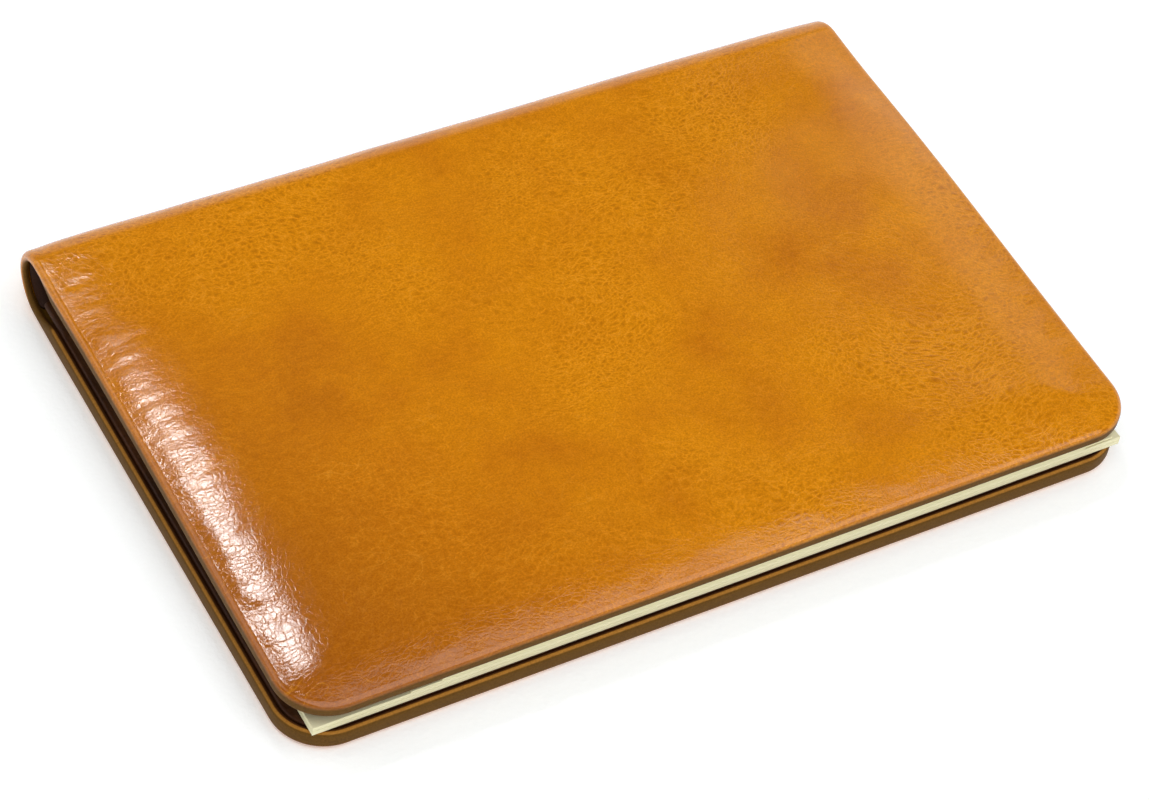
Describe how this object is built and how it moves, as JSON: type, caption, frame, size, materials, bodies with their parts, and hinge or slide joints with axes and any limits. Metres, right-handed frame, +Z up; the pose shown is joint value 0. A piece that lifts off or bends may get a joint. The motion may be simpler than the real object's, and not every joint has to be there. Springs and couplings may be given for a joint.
{
  "type": "business card case",
  "caption": "Slim bifold leather card case lying closed, with a rounded flexible spine, turned edges, an inner pocket in each cover and loose cards between the covers.",
  "frame": {"origin": "on the table, under the middle of the closed case's box", "axes": "+X along the spine and the long side; +Y from the open front edge to the spine; +Z up through the covers, from the back cover to the front cover"},
  "size_m": [0.105, 0.072, 0.0093],
  "materials": {
    "outer_leather": "glazed vegetable-tanned, glossy, fine pebbled grain",
    "pocket_leather": "dark brown, satin",
    "lining": "dark brown skived leather lining, matte",
    "board": null,
    "filler_card": null,
    "business_card": null
  },
  "bodies": {
    "back_cover": {"outer_back": "outer_leather", "board_back": "board", "lining_back": "lining", "pocket_back": "pocket_leather"},
    "spine_lower": {"spine_outer_lower": "outer_leather", "spine_lining_lower": "lining"},
    "spine_middle": {"spine_outer_middle": "outer_leather", "spine_lining_middle": "lining"},
    "spine_upper": {"spine_outer_upper": "outer_leather", "spine_lining_upper": "lining"},
    "front_cover": {"outer_front": "outer_leather", "board_front": "board", "lining_front": "lining", "pocket_front": "pocket_leather"},
    "filler_lower": {"filler_sheet_lower": "filler_card"},
    "filler_upper": {"filler_sheet_upper": "filler_card"},
    "card_lower": {"business_card_lower": "business_card"},
    "card_upper": {"business_card_upper": "business_card"}
  },
  "joints": [
    {"name": "back_bend", "type": "hinge", "parent": "back_cover", "child": "spine_lower", "pos_m": [0, 0.0326, 0], "axis": [-1, 0, 0], "range_deg": [0, 30.21]},
    {"name": "spine_fold", "type": "hinge", "parent": "spine_lower", "child": "spine_middle", "pos_m": [0, 0.03603, 0.00199], "axis": [-1, 0, 0], "range_deg": [0, 60.41]},
    {"name": "upper_fold", "type": "hinge", "parent": "spine_middle", "child": "spine_upper", "pos_m": [0, 0.03597, 0.00741], "axis": [-1, 0, 0], "range_deg": [0, 60.41]},
    {"name": "front_bend", "type": "hinge", "parent": "spine_upper", "child": "front_cover", "pos_m": [0, 0.0325, 0.00933], "axis": [-1, 0, 0], "range_deg": [0, 30.21]},
    {"name": "filler_lower_slide", "type": "slide", "parent": "back_cover", "child": "filler_lower", "axis": [0, -1, 0], "range_m": [0, 0.06]},
    {"name": "filler_upper_slide", "type": "slide", "parent": "back_cover", "child": "filler_upper", "axis": [0, -1, 0], "range_m": [0, 0.06]},
    {"name": "card_lower_slide", "type": "slide", "parent": "back_cover", "child": "card_lower", "axis": [0, -1, 0], "range_m": [0, 0.06]},
    {"name": "card_upper_slide", "type": "slide", "parent": "back_cover", "child": "card_upper", "axis": [0, -1, 0], "range_m": [0, 0.06]}
  ],
  "couplings": [
    {"joint": "spine_fold", "follows": "back_bend", "ratio": 2},
    {"joint": "upper_fold", "follows": "back_bend", "ratio": 2},
    {"joint": "front_bend", "follows": "back_bend", "ratio": 1}
  ]
}
